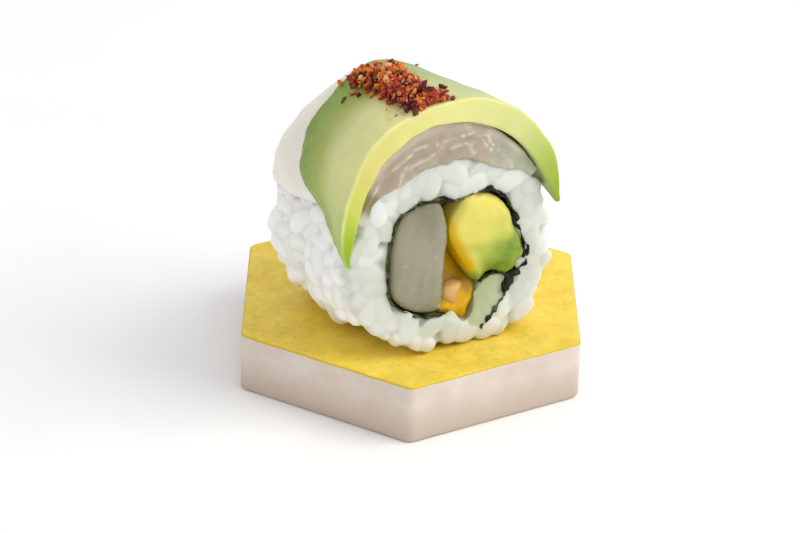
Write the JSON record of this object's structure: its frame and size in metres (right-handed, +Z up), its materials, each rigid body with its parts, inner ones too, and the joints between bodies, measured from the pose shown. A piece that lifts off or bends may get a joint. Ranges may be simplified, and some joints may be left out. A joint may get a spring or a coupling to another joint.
{
  "type": "sushi roll on a plate",
  "caption": "Slice of sushi roll with rice outside, fish, mango and avocado inside, fish and avocado bent over it, standing on a hexagonal plate.",
  "frame": {"origin": "centre of the hexagonal plate's underside", "axes": "+Z up; +X through a corner of the hexagon; the roll's cut face looks along -Y"},
  "size_m": [0.0654, 0.0572, 0.0569],
  "materials": {
    "plate": "matt clay-like block, its top coated in speckled yellow",
    "rice": "moist cooked white rice, slightly see-through",
    "nori": "wet black-green seaweed sheet",
    "fish_filling": "moist translucent white fish",
    "mango_filling": "moist yellow fruit",
    "avocado_filling": "soft avocado, yellow to green",
    "fish_slice": "moist translucent white fish with pale bands",
    "avocado_slice": "soft avocado, green at its skin side and yellow inside, with chilli flakes"
  },
  "bodies": {
    "root": {"plate": "plate", "rice": "rice", "nori": "nori", "fish_filling": "fish_filling", "mango_filling": "mango_filling", "avocado_filling": "avocado_filling", "fish_slice": "fish_slice", "avocado_slice": "avocado_slice"}
  },
  "joints": []
}
